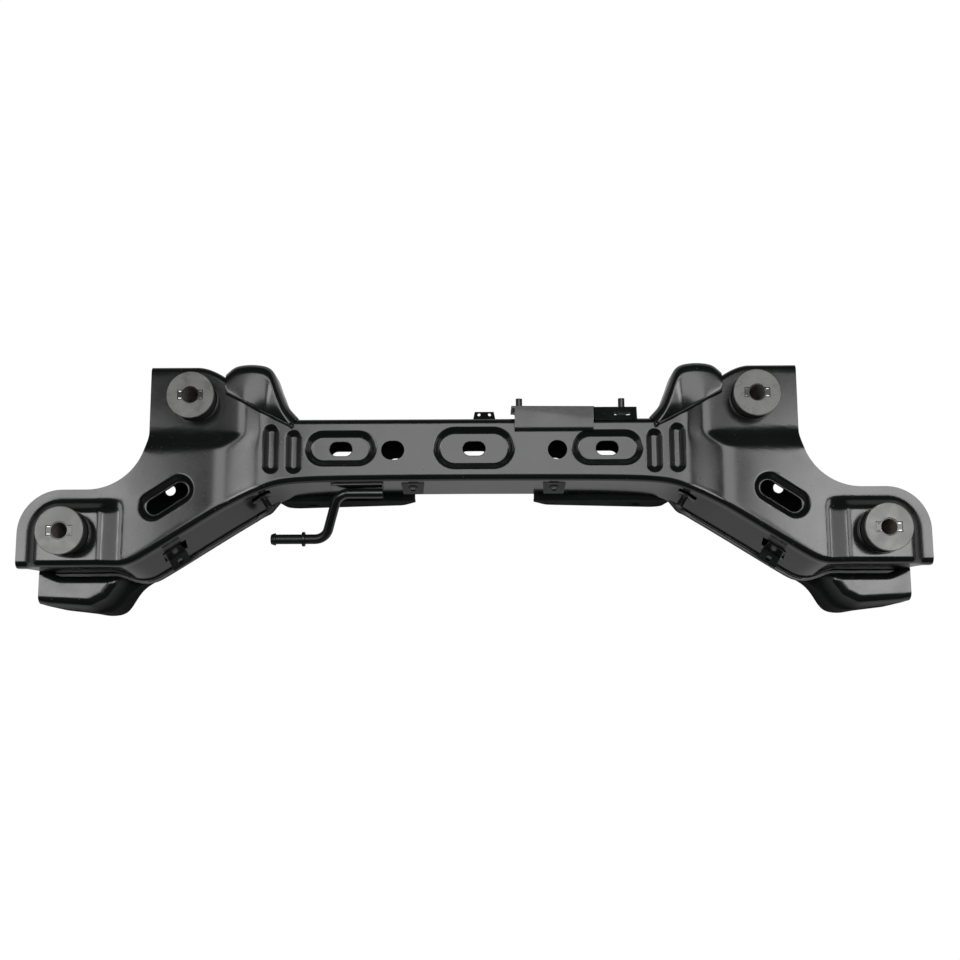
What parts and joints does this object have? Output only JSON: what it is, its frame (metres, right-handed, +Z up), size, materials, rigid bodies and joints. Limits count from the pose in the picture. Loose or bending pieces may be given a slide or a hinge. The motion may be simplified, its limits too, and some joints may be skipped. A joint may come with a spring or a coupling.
{
  "type": "rear suspension subframe",
  "caption": "Welded pressed-steel rear suspension subframe, a wide beam with splayed arms on rubber body bushes, with link brackets below.",
  "frame": {"origin": "middle of the bounding box in plan, on the plane that the link brackets' feet rest on", "axes": "+X to the right of the picture across the car, +Y to the rear of the car, +Z up"},
  "size_m": [1.08, 0.298, 0.186],
  "materials": {
    "panel_paint": "satin black dip coat over pressed steel",
    "bracket_paint": "satin black dip coat over steel brackets and small fittings",
    "washer_paint": "dark matte coat on the bush washers",
    "bush_steel": "plain machined steel of the sleeves and cores",
    "spring_steel": "bright stamped spring steel",
    "bush_rubber": "black moulded rubber"
  },
  "bodies": {
    "root": {"upper_panel": "panel_paint", "gusset_left": "panel_paint", "gusset_right": "panel_paint", "lower_panel": "bracket_paint", "link_bracket_left": "bracket_paint", "link_bracket_right": "bracket_paint", "beam_bracket_front_left": "bracket_paint", "beam_bracket_front_right": "bracket_paint", "beam_bracket_rear_left": "bracket_paint", "beam_bracket_rear_right": "bracket_paint", "link_nuts": "bracket_paint", "stud_bracket": "bracket_paint", "bracket_studs": "bracket_paint", "rear_clip": "bracket_paint", "clip_nuts": "bracket_paint", "hanger_plate": "bracket_paint", "hanger_rod": "bracket_paint", "hanger_collar": "bracket_paint", "front_studs": "bracket_paint", "wire_tab_left": "bracket_paint", "wire_tab_right": "bracket_paint", "sleeve_front_left": "bush_steel", "rubber_front_left": "bush_rubber", "core_front_left": "bush_steel", "washer_front_left": "washer_paint", "retainer_front_left": "spring_steel", "sleeve_front_right": "bush_steel", "rubber_front_right": "bush_rubber", "core_front_right": "bush_steel", "washer_front_right": "washer_paint", "retainer_front_right": "spring_steel", "sleeve_rear_left": "bush_steel", "rubber_rear_left": "bush_rubber", "core_rear_left": "bush_steel", "washer_rear_left": "washer_paint", "retainer_rear_left": "spring_steel", "sleeve_rear_right": "bush_steel", "rubber_rear_right": "bush_rubber", "core_rear_right": "bush_steel", "washer_rear_right": "washer_paint", "retainer_rear_right": "spring_steel"}
  },
  "joints": []
}
